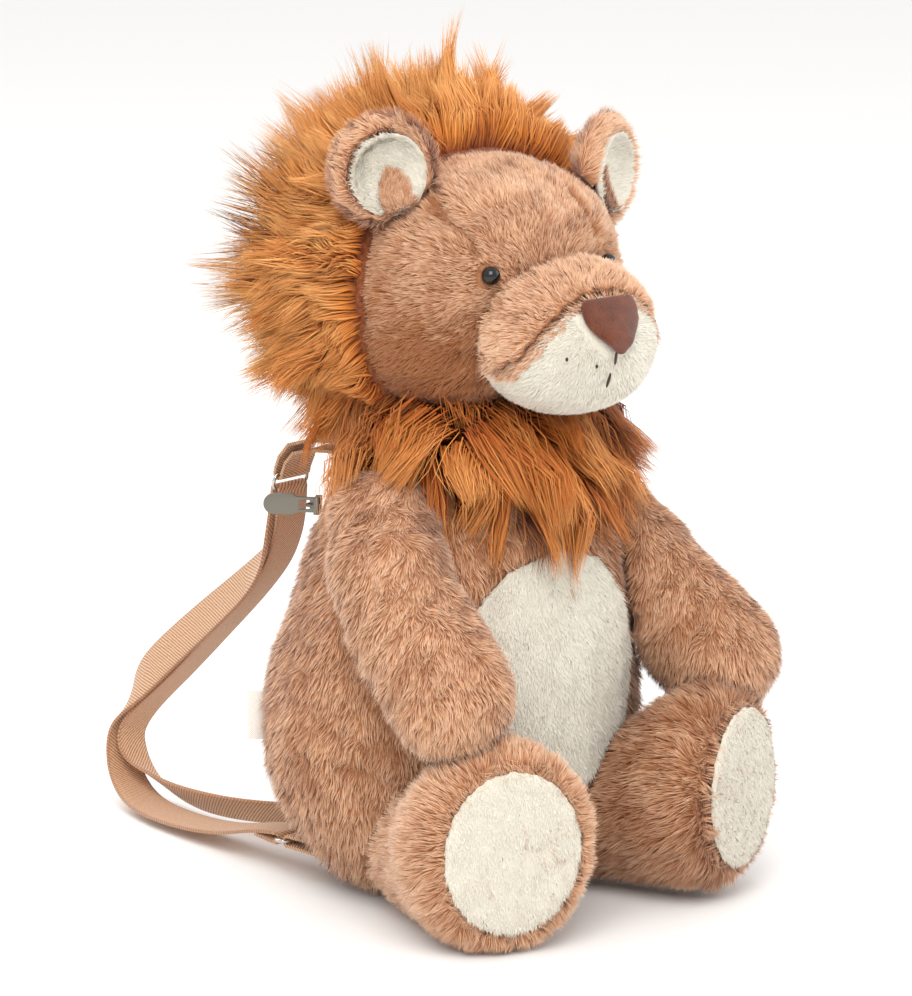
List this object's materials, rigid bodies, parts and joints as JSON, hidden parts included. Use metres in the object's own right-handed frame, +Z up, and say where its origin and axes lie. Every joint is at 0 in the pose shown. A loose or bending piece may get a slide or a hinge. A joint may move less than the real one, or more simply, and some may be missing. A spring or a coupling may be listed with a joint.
{
  "type": "plush animal backpack",
  "caption": "Sitting plush lion backpack with a long pile mane, an ivory belly patch, a rear zip and a webbing shoulder strap on metal rings.",
  "frame": {"origin": "on the floor plane, under the middle of the whole object's box", "axes": "+Z up; the lion looks along -Y, so the straps are at +Y; the lion's right side is -X"},
  "size_m": [0.2416, 0.3698, 0.4202],
  "materials": {
    "plush": "short dense tan plush pile with rosy brown roots",
    "ivory_plush": "smooth short ivory plush",
    "long_pile": "long silky amber pile with dark rust roots",
    "velour": "matte brown velour",
    "bead": "polished black bead",
    "webbing": "tan twill webbing",
    "zip_fabric": "brown woven zip tape with a coil chain",
    "satin_metal": "satin nickel",
    "ribbon": "plain white woven ribbon"
  },
  "bodies": {
    "bag": {"torso": "plush", "belly_patch": "ivory_plush", "head": "plush", "muzzle_top": "plush", "muzzle_chin": "ivory_plush", "nose": "velour", "eye_right": "bead", "eye_left": "bead", "ear_right": "plush", "ear_lining_right": "ivory_plush", "ear_left": "plush", "ear_lining_left": "ivory_plush", "arm_right": "plush", "leg_right": "plush", "sole_right": "ivory_plush", "arm_left": "plush", "leg_left": "plush", "sole_left": "ivory_plush", "mane": "long_pile", "mane_bib": "long_pile", "zip_tape": "zip_fabric", "zip_chain": "zip_fabric", "zip_slider": "satin_metal", "top_tab": "webbing", "top_ring": "satin_metal", "shoulder_strap": "webbing", "bottom_tab_right": "webbing", "bottom_ring_right": "satin_metal", "bottom_tab_left": "webbing", "bottom_ring_left": "satin_metal", "side_label": "ribbon"},
    "zip_pull": {"zip_pull": "satin_metal"}
  },
  "joints": [
    {"name": "zip_pull_swing", "type": "hinge", "parent": "bag", "child": "zip_pull", "pos_m": [-0.06111, -0.00549, 0.19], "axis": [0, 0, 1], "range_deg": [-60, 60]}
  ]
}
